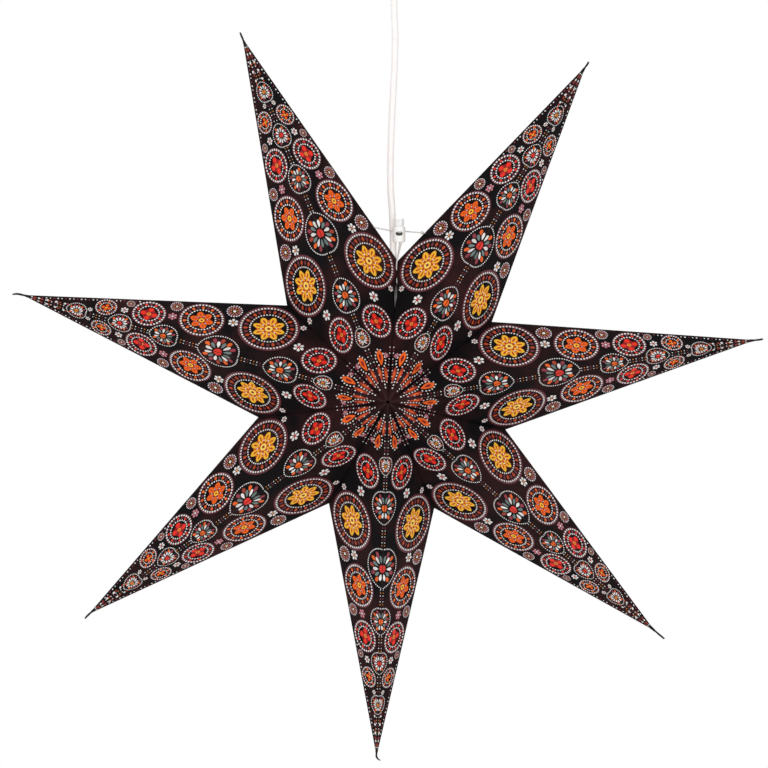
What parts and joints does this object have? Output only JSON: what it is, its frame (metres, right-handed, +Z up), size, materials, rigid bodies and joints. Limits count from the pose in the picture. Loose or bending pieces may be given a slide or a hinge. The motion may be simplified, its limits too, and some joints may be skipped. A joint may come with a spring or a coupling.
{
  "type": "paper star lantern",
  "caption": "Folded black card star lantern with coloured paper windows, hung on a white lamp cord from a ceiling canopy.",
  "frame": {"origin": "centre of the ceiling bracket's upper face, where it meets the ceiling", "axes": "+Z up into the ceiling, +X to the right as the star is seen from its front, the star's front faces -Y"},
  "size_m": [0.5901, 0.1512, 0.685],
  "materials": {
    "black_card": "matt black printed card",
    "window_paper": "coloured translucent paper",
    "pale_string": "twisted thread",
    "white_cord": "smooth PVC",
    "white_plastic": "satin",
    "clear_plastic": "cloudy, slightly see-through",
    "white_gloss": "gloss",
    "white_ceramic": "bare",
    "wire_insulation": "smooth PVC",
    "brass": "pressed",
    "nickel": "plated",
    "black_glass": "fused glass",
    "bulb_glass": "clear",
    "filament": "phosphor coated",
    "steel": "zinc plated"
  },
  "bodies": {
    "hanger": {"ceiling_bracket": "steel", "cord_clamp": "white_plastic", "clamp_screws": "steel", "terminal_block": "white_plastic", "block_screws": "steel", "ceiling_leads": "wire_insulation", "pendant_cord": "white_cord", "holder_cap": "white_plastic", "holder_grip": "white_plastic", "holder_leads": "wire_insulation", "holder_core": "white_ceramic", "holder_terminals": "brass", "thread_sleeve": "brass", "centre_contact": "brass", "holder_skirt": "white_plastic"},
    "canopy": {"canopy_cup": "white_gloss", "canopy_bush": "white_plastic", "bush_screw": "steel"},
    "star": {"star_point_1": "black_card", "star_point_2": "black_card", "star_point_3": "black_card", "star_point_4": "black_card", "star_point_5": "black_card", "star_point_6": "black_card", "star_point_7": "black_card", "star_liner_1": "window_paper", "star_liner_2": "window_paper", "star_liner_3": "window_paper", "star_liner_4": "window_paper", "star_liner_5": "window_paper", "star_liner_6": "window_paper", "star_liner_7": "window_paper", "tie_string": "pale_string", "lock_barrel": "white_plastic", "lock_spring": "steel"},
    "button": {"lock_button": "clear_plastic"},
    "bulb": {"bulb_cap": "nickel", "bulb_insulator": "black_glass", "bulb_contact": "nickel", "bulb_glass": "bulb_glass", "bulb_stem": "bulb_glass", "bulb_filaments": "filament"}
  },
  "joints": [
    {"name": "canopy_slide", "type": "slide", "parent": "hanger", "child": "canopy", "axis": [0, 0, -1], "range_m": [0, 0.025]},
    {"name": "star_turn", "type": "hinge", "parent": "hanger", "child": "star", "pos_m": [0, 0, -0.283], "axis": [0, 0, 1], "continuous": true},
    {"name": "button_press", "type": "slide", "parent": "star", "child": "button", "axis": [0, 0, -1], "range_m": [0, 0.002], "stiffness_N_per_m": 800, "springref_m": -0.001, "deforming": ["lock_spring"]},
    {"name": "bulb_turn", "type": "hinge", "parent": "hanger", "child": "bulb", "pos_m": [0, 0, -0.333], "axis": [0, 0, -1], "range_deg": [0, 1260]}
  ]
}
